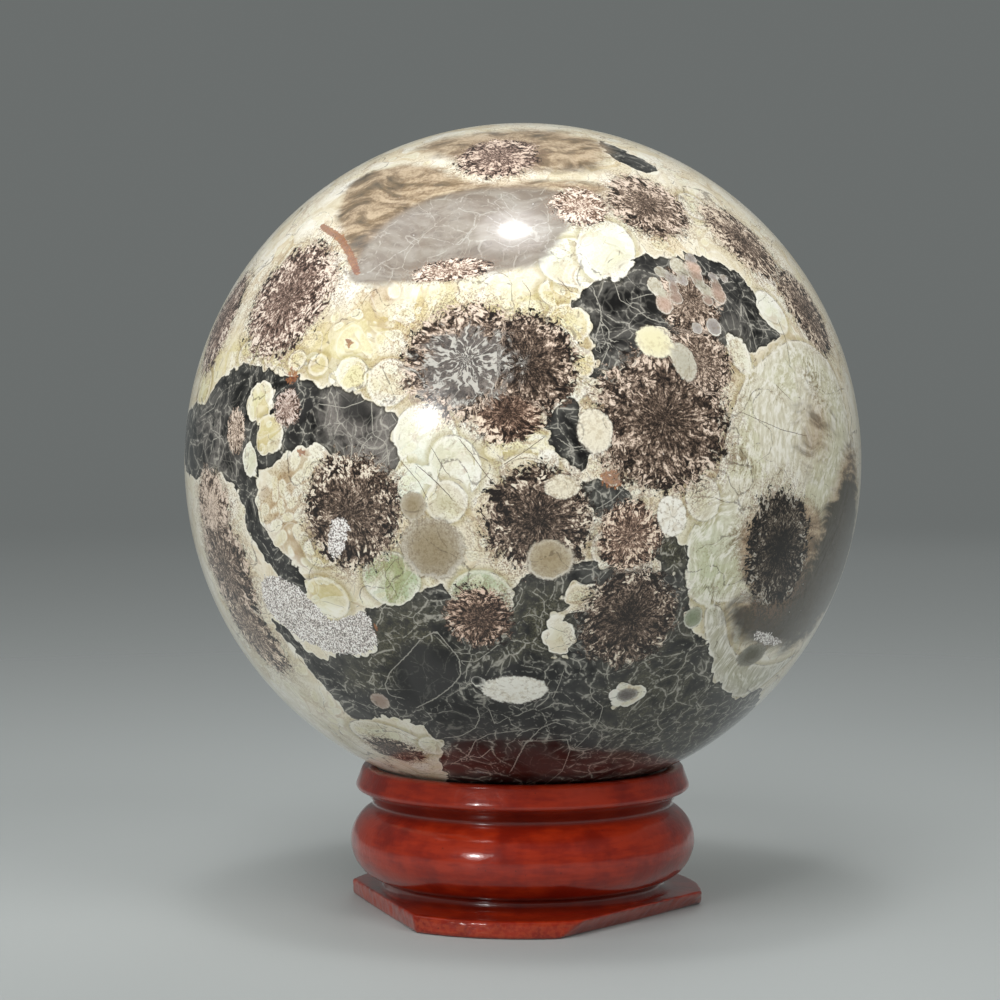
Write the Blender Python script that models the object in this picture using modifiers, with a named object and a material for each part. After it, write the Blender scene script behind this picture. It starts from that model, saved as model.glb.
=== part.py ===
"""Polished stone sphere on a turned wooden ring stand.

The object has two separate pieces. The sphere is one solid ball of orb-patterned
volcanic stone, ground and polished all over. The stand is one turned ring of
red-brown lacquered wood: a slanted rim that carries the sphere, a round bulge
between two grooves, and a thin foot plate whose edge is sawn off at three places,
so that it stands on three lobes.

Metres, +Z up. The origin is on the turned axis, on the surface it stands on.
The viewer's side is -Y, and +X is to the viewer's right.
"""

import math

import bmesh
import bpy
from mathutils import Matrix, Vector

MM = 0.001

# The sphere
SPHERE_DIAMETER = 56.0 * MM
SPHERE_RADIUS = SPHERE_DIAMETER / 2
SEAT_GAP = 0.3 * MM

# The stand's turned sizes: radii from its axis and heights above the ground
RIM_TOP_Z = 11.9 * MM
RIM_TOP_RADIUS = 13.35 * MM
RIM_CONTACT_RADIUS = 12.3 * MM
RIM_FOOT_RADIUS = 14.0 * MM
RIM_FOOT_Z = 10.05 * MM
RIM_ROUND = 0.3 * MM
UPPER_GROOVE_RADIUS = 12.45 * MM
UPPER_GROOVE_Z = 8.75 * MM
BULGE_CENTRE_RADIUS = 11.2 * MM
BULGE_CENTRE_Z = 5.6 * MM
BULGE_ROUND = 3.2 * MM
BULGE_START_DEGREES = 68.0
BULGE_END_DEGREES = -84.0
LOWER_GROOVE_RADIUS = 11.5 * MM
PLATE_INNER_RADIUS = 12.5 * MM
FOOT_RADIUS = 15.0 * MM
FOOT_HEIGHT = 1.43 * MM
FOOT_ROUND = 0.22 * MM
BORE_RADIUS = 9.5 * MM

# The three sawn flats of the foot. The distance from the axis is taken at the
# plate's upper face, and the lean pulls the flat inwards towards the ground.
SAWN_FLATS = (
    # name, bearing from +X, distance from the axis, lean
    ("right", -40.0, 12.75 * MM, 40.0),
    ("left", 199.5, 12.35 * MM, 8.0),
    ("back", 80.0, 12.45 * MM, 20.0),
)
SAW_CUT_TOP = 2.25 * MM
SAW_CUT_DEPTH = 6.0 * MM
SAW_CUT_WIDTH = 22.0 * MM

# How finely the round shapes are divided
AROUND = 64
SPHERE_RINGS = 32
MERGE_DISTANCE = 0.00001

# The ball rests on the rim's inner edge, so its centre is this high
SPHERE_CENTRE_Z = RIM_TOP_Z + math.sqrt(SPHERE_RADIUS**2 - RIM_CONTACT_RADIUS**2)

PARTS_COLLECTION = "decorative_sphere"
CUTTERS_COLLECTION = "decorative_sphere_cutters"


def clear_scene():
    for old in list(bpy.data.objects):
        bpy.data.objects.remove(old, do_unlink=True)


def new_collection(name):
    collection = bpy.data.collections.get(name) or bpy.data.collections.new(name)
    if collection.name not in bpy.context.scene.collection.children:
        bpy.context.scene.collection.children.link(collection)
    return collection


def principled(name, colour, roughness, metallic=0.0, coat=0.0):
    """A material with one Principled shader."""
    material = bpy.data.materials.new(name)
    material.use_nodes = True
    shader = material.node_tree.nodes["Principled BSDF"]
    shader.inputs["Base Color"].default_value = (*colour, 1.0)
    shader.inputs["Roughness"].default_value = roughness
    shader.inputs["Metallic"].default_value = metallic
    shader.inputs["Coat Weight"].default_value = coat
    material.diffuse_color = (*colour, 1.0)
    return material


def new_object(name, mesh, collection, material=None):
    obj = bpy.data.objects.new(name, mesh)
    collection.objects.link(obj)
    if material:
        mesh.materials.append(material)
    return obj


def arc(centre_radius, centre_z, radius, start_degrees, end_degrees, steps):
    """Points of an arc in the profile's plane, both ends included."""
    points = []
    for step in range(steps + 1):
        angle = math.radians(start_degrees + (end_degrees - start_degrees) * step / steps)
        points.append((centre_radius + radius * math.cos(angle), centre_z + radius * math.sin(angle)))
    return points


def fillet(before, corner, after, radius, steps):
    """The arc that rounds a corner of the profile between its two neighbours."""
    to_before = (Vector(before) - Vector(corner)).normalized()
    to_after = (Vector(after) - Vector(corner)).normalized()
    half = to_before.angle(to_after) / 2
    centre = Vector(corner) + (to_before + to_after).normalized() * (radius / math.sin(half))
    start = Vector(corner) + to_before * (radius / math.tan(half)) - centre
    end = Vector(corner) + to_after * (radius / math.tan(half)) - centre
    turn = start.angle_signed(end)
    return [tuple(centre + Matrix.Rotation(-turn * step / steps, 2) @ start) for step in range(steps + 1)]


def seat_z(radius):
    """Height of the dished seat at a radius: it follows the ball with the gap."""
    return SPHERE_CENTRE_Z - math.sqrt((SPHERE_RADIUS + SEAT_GAP) ** 2 - radius**2)


def stand_profile():
    """The ring's closed profile (radius, height): down its outer side, then up its bore."""
    seat_edge_radius = math.sqrt((SPHERE_RADIUS + SEAT_GAP) ** 2 - (SPHERE_CENTRE_Z - RIM_TOP_Z) ** 2)
    seat_edge = (seat_edge_radius, RIM_TOP_Z)
    rim_top = (RIM_TOP_RADIUS, RIM_TOP_Z)
    rim_foot = (RIM_FOOT_RADIUS, RIM_FOOT_Z)
    rim_under = (UPPER_GROOVE_RADIUS + 0.55 * MM, RIM_FOOT_Z - 0.5 * MM)
    upper_groove = (UPPER_GROOVE_RADIUS, UPPER_GROOVE_Z)
    lip_top = (FOOT_RADIUS, FOOT_HEIGHT)
    lip_bottom = (FOOT_RADIUS, 0.0)
    plate_inner = (PLATE_INNER_RADIUS, FOOT_HEIGHT)

    bulge = arc(
        BULGE_CENTRE_RADIUS, BULGE_CENTRE_Z, BULGE_ROUND, BULGE_START_DEGREES, BULGE_END_DEGREES, 14
    )
    cove_radius = PLATE_INNER_RADIUS - LOWER_GROOVE_RADIUS
    cove = arc(PLATE_INNER_RADIUS, FOOT_HEIGHT + cove_radius, cove_radius, 196.0, 262.0, 3)
    dish = [(radius, seat_z(radius)) for radius in (BORE_RADIUS, (BORE_RADIUS + seat_edge_radius) / 2)]

    profile = [seat_edge]
    profile += fillet(seat_edge, rim_top, rim_foot, RIM_ROUND * 0.6, 1)
    profile += fillet(rim_top, rim_foot, rim_under, RIM_ROUND, 2)
    profile += [rim_under, upper_groove]
    profile += bulge
    profile += cove
    profile += [plate_inner]
    profile += fillet(plate_inner, lip_top, lip_bottom, FOOT_ROUND, 2)
    profile += [lip_bottom, (BORE_RADIUS, 0.0)]
    profile += dish
    return profile


def make_sphere(collection):
    material = principled("orb_stone", (0.42, 0.37, 0.31), roughness=0.08, coat=1.0)
    mesh = bpy.data.meshes.new("stone_sphere")
    shape = bmesh.new()
    bmesh.ops.create_uvsphere(shape, u_segments=AROUND, v_segments=SPHERE_RINGS, radius=SPHERE_RADIUS)
    shape.to_mesh(mesh)
    shape.free()
    mesh.shade_smooth()
    sphere = new_object("stone_sphere", mesh, collection, material)
    sphere.location = (0.0, 0.0, SPHERE_CENTRE_Z)
    return sphere


def make_saw_cut(name, bearing_degrees, distance, lean_degrees, collection):
    """A box that takes off the foot's edge, leaning in towards the ground."""
    mesh = bpy.data.meshes.new("saw_cut_" + name)
    shape = bmesh.new()
    bmesh.ops.create_cube(shape, size=1.0)
    height = 2 * SAW_CUT_TOP
    bmesh.ops.scale(shape, vec=(SAW_CUT_DEPTH, SAW_CUT_WIDTH, height), verts=shape.verts)
    bmesh.ops.translate(shape, vec=(SAW_CUT_DEPTH / 2, 0.0, SAW_CUT_TOP - height / 2), verts=shape.verts)

    lean = math.tan(math.radians(lean_degrees))
    for vertex in shape.verts:
        vertex.co.x += distance + (vertex.co.z - FOOT_HEIGHT) * lean
    shape.to_mesh(mesh)
    shape.free()

    cutter = new_object("saw_cut_" + name, mesh, collection)
    cutter.rotation_euler = (0.0, 0.0, math.radians(bearing_degrees))
    cutter.hide_render = True
    cutter.display_type = "WIRE"
    return cutter


def make_stand(collection, cutters):
    material = principled("red_brown_lacquer", (0.24, 0.035, 0.012), roughness=0.22, coat=0.8)
    mesh = bpy.data.meshes.new("ring_stand")
    points = [(radius, 0.0, z) for radius, z in stand_profile()]
    edges = [(index, (index + 1) % len(points)) for index in range(len(points))]
    mesh.from_pydata(points, edges, [])
    stand = new_object("ring_stand", mesh, collection, material)

    turn = stand.modifiers.new("turn", "SCREW")
    turn.axis = "Z"
    turn.angle = 2 * math.pi
    turn.steps = AROUND
    turn.render_steps = AROUND
    turn.use_merge_vertices = True
    turn.merge_threshold = MERGE_DISTANCE
    turn.use_smooth_shade = True

    for name, bearing, distance, lean in SAWN_FLATS:
        saw = stand.modifiers.new("saw_" + name, "BOOLEAN")
        saw.operation = "DIFFERENCE"
        saw.solver = "EXACT"
        saw.object = make_saw_cut(name, bearing, distance, lean, cutters)
    return stand


def main():
    clear_scene()
    parts = new_collection(PARTS_COLLECTION)
    cutters = new_collection(CUTTERS_COLLECTION)
    sphere = make_sphere(parts)
    stand = make_stand(parts, cutters)

    # One empty on the origin carries both pieces, as a hand would lift them together
    root = bpy.data.objects.new("decorative_sphere_root", None)
    parts.objects.link(root)
    sphere.parent = root
    stand.parent = root


main()
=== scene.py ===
# %% [markdown]
# # A polished stone ball on a lacquered ring
#
# The object has two pieces. A ball of flower-patterned volcanic stone, 56 mm across, is ground and
# polished until it mirrors the lamps. It rests in a small wooden ring, turned on a lathe, sawn off at
# three sides of its foot and dipped in red-brown lacquer.
#
# The solids already have the right size and place, and this lesson gives them their looks. The stone is
# the hard part: its pattern isn't a picture wrapped round the ball, it is written as a recipe. First we
# say where each flower, orb and patch lies. Then nodes draw needles, veins and grains inside them.

import math

import bmesh
import bpy
import numpy as np
from mathutils import Matrix, Vector, noise


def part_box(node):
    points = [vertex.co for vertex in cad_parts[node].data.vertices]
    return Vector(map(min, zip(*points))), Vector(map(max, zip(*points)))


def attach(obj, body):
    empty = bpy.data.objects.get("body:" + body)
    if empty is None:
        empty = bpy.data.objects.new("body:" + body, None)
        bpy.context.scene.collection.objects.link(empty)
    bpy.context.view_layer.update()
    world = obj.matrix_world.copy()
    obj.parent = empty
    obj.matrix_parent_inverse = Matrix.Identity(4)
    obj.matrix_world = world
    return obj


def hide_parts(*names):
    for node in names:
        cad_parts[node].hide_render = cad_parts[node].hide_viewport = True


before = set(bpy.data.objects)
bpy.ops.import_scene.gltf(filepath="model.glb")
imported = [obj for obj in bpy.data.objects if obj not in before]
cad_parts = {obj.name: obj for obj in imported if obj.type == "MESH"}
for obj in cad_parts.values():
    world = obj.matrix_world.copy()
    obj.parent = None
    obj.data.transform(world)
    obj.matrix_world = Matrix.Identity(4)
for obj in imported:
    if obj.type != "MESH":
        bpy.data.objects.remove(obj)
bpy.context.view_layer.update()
print("nodes:", sorted(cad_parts))

# %% [markdown]
# ## The ball's size and place
#
# Everything below is worked out from the ball's box, so that it stays right if the solid changes.
# Patterns in stone are easiest to think of in millimetres, so the pattern uses those.

# %% Read the ball and the ring from the frame
MM = 0.001
ball_low, ball_high = (Vector(corner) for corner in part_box("stone_sphere"))
BALL_RADIUS = (ball_high.z - ball_low.z) / 2
BALL_CENTRE = Vector((0.0, 0.0, ball_high.z - BALL_RADIUS))
BALL_MM = BALL_RADIUS / MM
RING_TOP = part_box("ring_stand")[1][2]
print("ball radius, mm:", round(BALL_MM, 3), " ring height, mm:", round(RING_TOP / MM, 3))

# %% [markdown]
# ## The camera
#
# The camera looks almost level, from about four ball-widths away, a little left of the middle.
# It comes first because the places of the flowers and orbs are given as pixels of the picture, and a
# ray through a pixel finds its point on the ball.

# %% Place the camera
PICTURE_SIDE = 1000
FOCAL_PIXELS = 2577.0
CAMERA_PLACE = Vector((-1.88, -215.0, 41.4)) * MM
LOOK_DOWN = math.radians(2.0)

camera_data = bpy.data.cameras.new("camera")
camera_data.lens = camera_data.sensor_width * FOCAL_PIXELS / PICTURE_SIDE
camera_data.clip_start = 10 * MM
camera = bpy.data.objects.new("camera", camera_data)
camera.location = CAMERA_PLACE
camera.rotation_euler = (math.pi / 2 - LOOK_DOWN, 0.0, 0.0)
bpy.context.scene.collection.objects.link(camera)
bpy.context.scene.camera = camera
print("lens, mm:", round(camera_data.lens, 1))


# %% Find the point of the ball behind a pixel
def on_ball(x, y):
    """Direction from the ball's centre to the point that is seen at a pixel, or to the nearest edge."""
    side = PICTURE_SIDE / 2
    ray = Vector(((x - side) / FOCAL_PIXELS, 1.0, (side - y) / FOCAL_PIXELS))
    ray = (Matrix.Rotation(-LOOK_DOWN, 3, "X") @ ray).normalized()
    start = CAMERA_PLACE - BALL_CENTRE
    along = ray.dot(start)
    under_root = along**2 - (start.length_squared - BALL_RADIUS**2)
    reach = -along - math.sqrt(max(under_root, 0.0))
    return np.array((start + ray * reach).normalized())


print("the middle of the ball faces", on_ball(522, 462).round(2))

# %% [markdown]
# ## The ball's mesh
#
# A ball from the Add menu has poles where its faces crowd together. A cube that is divided finely and
# blown up to a ball has faces of nearly one size everywhere, which suits a pattern that is stored at
# its corners. Spacing the cuts by equal angles keeps them even towards the cube's corners, too.

# %% Blow a cube up to a ball
CUTS = 128
shape = bmesh.new()
bmesh.ops.create_cube(shape, size=2.0)
bmesh.ops.subdivide_edges(shape, edges=shape.edges[:], cuts=CUTS, use_grid_fill=True)
ball_mesh = bpy.data.meshes.new("polished_ball")
shape.to_mesh(ball_mesh)
shape.free()

corner_count = len(ball_mesh.vertices)
facing = np.empty(corner_count * 3)
ball_mesh.vertices.foreach_get("co", facing)
facing = np.tan(facing.reshape(-1, 3) * math.pi / 4)
facing /= np.linalg.norm(facing, axis=1, keepdims=True)
print("corners:", corner_count, " triangles:", 2 * len(ball_mesh.polygons))

# %% [markdown]
# ## Measuring on the ball
#
# A flower in the stone is round on the ball, but squeezed in the picture near the ball's edge. So each
# feature gets a flat chart of its own, like a map laid on the ball at its centre: how far every point
# lies to the right of it and above it, in millimetres along the surface.


# %% A chart round a point, and the shapes drawn on it
def place_of(at):
    """A place is given as a pixel, or as a direction for what the camera can't see."""
    return on_ball(*at) if len(at) == 2 else np.array(Vector(at).normalized())


def chart(centre, points=None):
    """Millimetres to the right and up from a point of the ball, for directions on it."""
    points = facing if points is None else points
    right = np.cross((0.0, 0.0, 1.0), centre)
    right /= max(np.linalg.norm(right), 1e-6)
    up = np.cross(centre, right)
    angle = np.arccos(np.clip(points @ centre, -1.0, 1.0))
    stretch = BALL_MM * angle / np.maximum(np.sin(angle), 1e-4)
    return stretch * (points @ right), stretch * (points @ up)


def disc(at, across, tall, tilt):
    """Coordinates on a round or oval disc: its edge is at distance 1."""
    right, up = chart(place_of(at))
    turn = math.radians(tilt)
    along = right * math.cos(turn) + up * math.sin(turn)
    over = up * math.cos(turn) - right * math.sin(turn)
    return along / (across / 2), over / (tall / 2)


def rounded(points, times=2):
    """Cuts the corners of a closed outline until it is round."""
    for _ in range(times):
        after = np.roll(points, -1, axis=0)
        points = np.stack((points * 0.75 + after * 0.25, points * 0.25 + after * 0.75), 1).reshape(-1, 2)
    return points


def to_line(right, up, line, closed):
    """Distance to a line of points, which side of it a place is on, and whether it is inside."""
    nearest = np.full(len(right), 1e9)
    side = np.ones(len(right))
    inside = np.zeros(len(right), bool)
    ends = np.roll(line, -1, axis=0) if closed else line[1:]
    for (x0, y0), (x1, y1) in zip(line, ends):
        dx, dy = x1 - x0, y1 - y0
        share = ((right - x0) * dx + (up - y0) * dy) / max(dx * dx + dy * dy, 1e-12)
        share = np.clip(share, 0.0, 1.0)
        distance = np.hypot(right - x0 - share * dx, up - y0 - share * dy)
        closer = distance < nearest
        nearest = np.where(closer, distance, nearest)
        side = np.where(closer, np.sign((right - x0) * dy - (up - y0) * dx), side)
        if abs(dy) > 1e-9:
            crosses = (y0 > up) != (y1 > up)
            inside ^= crosses & (right < x0 + (up - y0) * dx / dy)
    return nearest, side, inside


def on_chart(pixels):
    """The middle of some places, and the places on a chart round it."""
    corners = np.array([place_of(pixel) for pixel in pixels])
    centre = corners.mean(axis=0)
    centre /= np.linalg.norm(centre)
    return centre, np.stack(chart(centre, corners), 1)


def outline(pixels, times=2):
    """Millimetres to a closed outline on the ball, below 0 inside it."""
    centre, corners = on_chart(pixels)
    nearest, _, inside = to_line(*chart(centre), rounded(corners, times), closed=True)
    far_side = facing @ centre < -0.2
    return np.where(inside & ~far_side, -nearest, nearest)


def stroke(pixels):
    """Millimetres to an open line on the ball, and on which side of it each place lies."""
    centre, corners = on_chart(pixels)
    nearest, side, _ = to_line(*chart(centre), corners, closed=False)
    return nearest, side


# %% [markdown]
# ## The stone's colours
#
# Each colour is named for what it is in the stone, and given in the usual 0 to 255. Blender works with
# light itself, so the numbers are turned into linear values.


# %% Name the colours
def tone(red, green, blue):
    """A colour given in 0 to 255, as linear light."""
    shares = np.array((red, green, blue)) / 255
    return np.where(shares <= 0.04045, shares / 12.92, ((shares + 0.055) / 1.055) ** 2.4)


CREAM = tone(232, 224, 202)
WARM_CREAM = tone(220, 198, 168)
YELLOW_CREAM = tone(230, 223, 184)
STRAW = tone(212, 197, 148)
MINT = tone(232, 234, 218)
PALE_GREEN = tone(186, 198, 162)
CHALK = tone(243, 240, 229)
BONE = tone(220, 215, 195)
BEIGE = tone(158, 144, 116)
PINK_CREAM = tone(214, 186, 168)
LILAC = tone(184, 176, 170)
QUARTZ = tone(118, 105, 94)
PALE_QUARTZ = tone(148, 140, 130)
SMOKE = tone(138, 115, 88)
DEEP_SMOKE = tone(34, 29, 24)
RUST = tone(138, 82, 58)
ORANGE = tone(182, 126, 78)
INK = tone(20, 19, 18)
SLATE = tone(46, 45, 44)
HAZE = tone(88, 87, 82)
MIST = tone(128, 122, 116)
MOSS = tone(92, 89, 70)
VEIN = tone(184, 180, 168)
UMBER = tone(66, 52, 42)
print("cream in linear light:", CREAM.round(3))

# %% [markdown]
# ## Layer one: dark ground and pale ground
#
# The stone is a dark glassy ground that pale, rounded lobes grew through. We keep one number for each
# corner of the mesh: how far it is from the border, below 0 in pale ground. A distance can be blended
# between corners and still gives a sharp border, which a painted mask wouldn't.

# %% Keep the fields that the nodes will read
ground = np.full(corner_count, -5.0)
fold = np.full(corner_count, 5.0)
tint = np.tile(CREAM, (corner_count, 1))


def share_inside(distance, soft):
    """1 inside a shape and 0 outside, with a soft border of that many millimetres."""
    return np.clip(0.5 - distance / soft, 0.0, 1.0)[:, None]


def dark_area(name, pixels):
    """An area where the dark ground shows."""
    global ground
    ground = np.maximum(ground, -outline(pixels))


def wash(name, colour, distance, soft=1.5, strength=1.0):
    """Tints the pale ground in a soft-edged area."""
    global tint
    share = share_inside(distance, soft) * strength
    tint = tint * (1 - share) + colour * share


def lay(distance, colour, soft=0.3):
    """Lays a pale shape over what was drawn before it, and remembers its edge."""
    global ground, fold, tint
    ground = np.minimum(ground, distance)
    fold = np.where(distance < np.abs(fold), distance, fold)
    share = share_inside(distance, soft)
    tint = tint * (1 - share) + colour * share


def lobe(name, at, across, tall=None, tilt=0.0, colour=CREAM):
    """A rounded lobe of pale stone."""
    tall = tall or across
    along, over = disc(at, across, tall, tilt)
    lay((np.hypot(along, over) - 1) * min(across, tall) / 2, colour)


def slab(name, colour, pixels):
    """A pale body with an outline of its own."""
    lay(outline(pixels), colour)


# %% Draw the dark areas
dark_area("between the left lobes and the star flower", [
    (184, 412), (207, 404), (221, 378), (238, 367), (264, 369), (296, 378), (322, 387), (345, 390),
    (366, 402), (392, 410), (402, 436), (399, 470), (372, 478), (340, 452), (306, 440), (286, 456),
    (262, 466), (254, 492), (262, 530), (284, 556), (312, 580), (306, 598), (276, 574), (250, 534),
    (240, 486), (212, 464), (192, 484), (184, 450)])
dark_area("upper right, with the white net", [
    (571, 300), (592, 287), (618, 275), (632, 256), (654, 258), (678, 257), (699, 255), (718, 263),
    (743, 276), (756, 300), (777, 322), (779, 337), (761, 348), (748, 352), (734, 336), (721, 347),
    (692, 345), (676, 333), (660, 324), (642, 331), (646, 354), (640, 366), (623, 364), (605, 376),
    (594, 362), (592, 333), (582, 312)])
dark_area("under the petals", [
    (560, 402), (582, 404), (579, 427), (592, 452), (584, 470), (562, 460), (547, 433), (550, 414)])
dark_area("between the right flowers", [
    (582, 482), (600, 484), (618, 485), (632, 496), (636, 512), (620, 524), (600, 520), (588, 504)])
dark_area("left of the big pale body", [(654, 538), (681, 538), (687, 567), (665, 575), (655, 560)])
dark_area("beside the lower right flower", [(680, 560), (690, 590), (686, 620), (676, 600), (672, 570)])
dark_area("left of the right flower", [(584, 372), (604, 366), (612, 384), (600, 396), (588, 388)])
dark_area("the lower ground", [
    (268, 616), (286, 627), (295, 639), (308, 652), (326, 660), (340, 652), (362, 659), (380, 647),
    (371, 625), (366, 607), (389, 609), (411, 603), (422, 588), (442, 586), (450, 600), (447, 625),
    (465, 643), (494, 638), (508, 610), (516, 584), (533, 576), (560, 572), (576, 565), (594, 562),
    (640, 575), (676, 572), (686, 598), (684, 616), (694, 636), (705, 638), (712, 679), (730, 699),
    (743, 698), (765, 684), (752, 716), (730, 740), (690, 768), (640, 790), (560, 805), (460, 802),
    (446, 775), (440, 745), (420, 722), (380, 714), (355, 722), (330, 690), (300, 655)])
dark_area("a streak near the top right edge", [
    (597, 139), (612, 146), (636, 156), (660, 170), (650, 175), (622, 163), (604, 152)])

# %% Tint the pale ground
wash("yellow cream on the left", YELLOW_CREAM, outline([
    (196, 400), (200, 350), (240, 340), (300, 330), (350, 320), (372, 300), (440, 280), (520, 275),
    (560, 300), (560, 330), (420, 320), (380, 350), (360, 385), (300, 374), (250, 366)]))
wash("straw above the middle flower", STRAW, outline([
    (366, 322), (384, 303), (420, 294), (430, 306), (412, 328), (380, 336)]), 2.2, 0.75)
wash("mint at the top", MINT, outline([
    (560, 210), (620, 200), (640, 240), (615, 285), (575, 292), (548, 280), (545, 240)]), 2.0)
wash("chalk at the very top", CHALK, outline([
    (395, 168), (430, 150), (470, 150), (470, 170), (420, 180)]), 2.5)
wash("mint in the middle", MINT, outline([
    (395, 430), (400, 490), (430, 505), (475, 500), (490, 460), (470, 430), (430, 425)]), 2.0)
wash("green cream under the petals", YELLOW_CREAM, outline([
    (480, 440), (545, 425), (560, 450), (550, 480), (490, 480)]), 1.5)
wash("bone at the lower left edge", BONE, outline([
    (230, 590), (268, 616), (353, 722), (370, 760), (300, 720), (230, 640)]), 1.5)

# %% Lay the large pale bodies
slab("big body at the right", BONE, [
    (788, 338), (812, 344), (836, 372), (850, 440), (846, 500), (822, 560), (800, 600), (745, 604),
    (722, 600), (710, 608), (690, 600), (684, 580), (686, 536), (707, 507), (721, 462), (728, 422),
    (743, 380), (762, 360)])
LOWER_BODY = [
    (703, 605), (724, 604), (727, 652), (765, 668), (800, 650), (789, 661), (739, 702), (712, 682),
    (705, 640)]
# painted shade: the lower body's bone colour is darkened by a fifth to stand for the shade there
slab("lower body at the right", BONE * 0.8, LOWER_BODY)
wash("greenish at its lower left", PALE_GREEN, outline([
    (700, 505), (684, 540), (684, 600), (715, 606), (735, 570), (730, 520)]), 4.0, 0.45)

# %% Lay the lobes
lobe("scallop on the left edge", (204, 388), 3.4, 3.2, 20, YELLOW_CREAM)
lobe("scallop beside it", (247, 353), 2.4, 2.2, 0, YELLOW_CREAM)
lobe("round scallop", (273, 356), 2.1, 2.1, 0, YELLOW_CREAM)
lobe("low scallop", (297, 360), 1.9, 1.7, 0, YELLOW_CREAM)
lobe("low scallop", (318, 365), 2.0, 1.8, 0, YELLOW_CREAM)
lobe("bead", (334, 378), 1.0, 1.0, 0, YELLOW_CREAM)
lobe("wide scallop", (352, 374), 3.0, 2.6, -30, YELLOW_CREAM)
lobe("wide scallop", (389, 382), 3.6, 3.6, 0, CHALK)
lobe("lobe under the bright spot", (424, 436), 4.9, 4.9, 0, MINT)
lobe("lobe below it", (455, 466), 3.8, 4.6, 20, MINT)
lobe("lobe below left", (412, 488), 3.2, 3.6, 0, MINT)
lobe("lobe between the flowers", (446, 502), 3.2, 3.2, 0, BONE)
lobe("long lobe under the middle flower", (516, 446), 4.6, 1.9, 12, YELLOW_CREAM)
lobe("lobe under that", (524, 470), 3.6, 2.4, 5, CREAM)
lobe("small lobe at its right", (548, 462), 1.6, 2.0, 0, CHALK)
lobe("petal below", (560, 292), 3.2, 2.6, 0, YELLOW_CREAM)
lobe("petal", (568, 324), 3.4, 3.4, 0, YELLOW_CREAM)
lobe("petal", (583, 363), 2.1, 2.3, 0, YELLOW_CREAM)
lobe("petal", (572, 390), 2.0, 1.9, 0, MINT)
lobe("chalk petal", (598, 392), 1.6, 2.0, 30, CHALK)
lobe("mint lobe", (576, 262), 5.6, 4.6, 0, MINT)
lobe("mint lobe, outer", (606, 250), 4.6, 6.2, -15, MINT)
lobe("chalk lobe at the upper right", (694, 206), 2.8, 3.4, -20, MINT)
lobe("mint lobe near the right edge", (768, 262), 2.4, 6.4, 25, MINT)
lobe("mint lobe below it", (772, 312), 3.0, 4.0, 30, MINT)
lobe("pale lobe on the net", (739, 353), 2.1, 3.4, 15, MINT)
lobe("small lobe left of the star flower", (320, 552), 3.2, 2.4, 0, YELLOW_CREAM)
lobe("green half moon", (391, 579), 4.7, 4.4, 0, PALE_GREEN)
lobe("cream lobe under the star flower", (326, 598), 4.3, 3.4, -8, YELLOW_CREAM)
lobe("crescent over the small flower", (481, 600), 4.9, 4.7, 0, PALE_GREEN)
lobe("lobe over the lower right flower", (583, 598), 3.3, 2.7, 20, CREAM)
lobe("white crescent", (558, 636), 2.6, 3.8, 10, CHALK)
lobe("small grey lobe", (605, 549), 2.1, 2.9, 0, BONE)
lobe("thick white ring in the lower ground", (627, 695), 3.3, 2.6, 0, CHALK)
lobe("lobe beside the big body", (703, 498), 3.0, 3.6, 20, BONE)
lobe("top of the lower left orb", (388, 740), 7.0, 4.6, -16, BONE)
lobe("end of the lower left orb", (432, 746), 2.2, 2.6, -20, BONE)
lobe("pale sliver over the ring", (655, 776), 5.6, 2.8, 12, BONE)
lobe("cream, on the dark left ground", (260, 402), 3.2, 3.6, 0, YELLOW_CREAM)
lobe("cream below it", (268, 436), 3.6, 3.4, 30, YELLOW_CREAM)
lobe("lowest of the left lobes", (250, 460), 2.2, 2.8, 0, MINT)
print("share of pale ground on the whole ball:", round(float((ground < 0).mean()), 2))

# %% [markdown]
# ## Layer two: stains
#
# Clear quartz, smoky brown patches, rust, moss-green grains and a sparkling crust of tiny crystals
# have no sharp border. Each is a weight between 0 and 1 at every corner.

# %% Paint the stains
STAINS = ("quartz", "smoke", "deep", "rust", "moss", "mist", "crust", "glass", "net", "beads", "body")
stains = {kind: np.zeros(corner_count) for kind in STAINS}


def stain(kind, distance, soft=1.5, strength=1.0):
    stains[kind] = np.maximum(stains[kind], share_inside(distance, soft)[:, 0] * strength)


stain("quartz", outline([
    (346, 288), (356, 246), (400, 208), (455, 190), (560, 186), (580, 206), (560, 240), (540, 268),
    (470, 276), (400, 284)]), 2.0)
stain("smoke", outline([
    (335, 218), (350, 180), (420, 160), (470, 186), (540, 180), (610, 186), (600, 198), (560, 190),
    (455, 192), (400, 212), (362, 250), (352, 276), (346, 250)]), 1.6)
stain("smoke", outline([
    (410, 152), (440, 138), (480, 134), (560, 130), (620, 150), (590, 176), (520, 172), (450, 164)]), 3.0)
stain("smoke", outline([(800, 400), (820, 380), (835, 420), (832, 470), (800, 476), (792, 430)]), 5.0, 0.75)
stain("smoke", outline([
    (846, 430), (858, 480), (848, 560), (815, 630), (780, 655), (728, 640), (722, 600), (760, 590),
    (800, 570), (822, 510)]), 3.0)
stain("deep", outline([
    (850, 470), (858, 520), (840, 580), (800, 640), (760, 650), (728, 640), (726, 604), (770, 600),
    (812, 572), (830, 510)]), 3.0)
stain("smoke", outline([
    (742, 520), (770, 496), (820, 500), (826, 560), (800, 600), (748, 600), (736, 560)]), 1.6)
stain("rust", stroke([(322, 226), (340, 238), (350, 254), (357, 272)])[0] - 0.30, 0.35)
stain("rust", outline([(600, 468), (622, 466), (626, 484), (610, 492), (597, 482)]), 1.0, 0.7)
stain("rust", outline([(638, 512), (650, 512), (652, 546), (640, 548)]), 1.0, 0.5)
stain("rust", outline([(287, 366), (300, 366), (298, 388), (284, 386)]), 0.6, 0.6)
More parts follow.
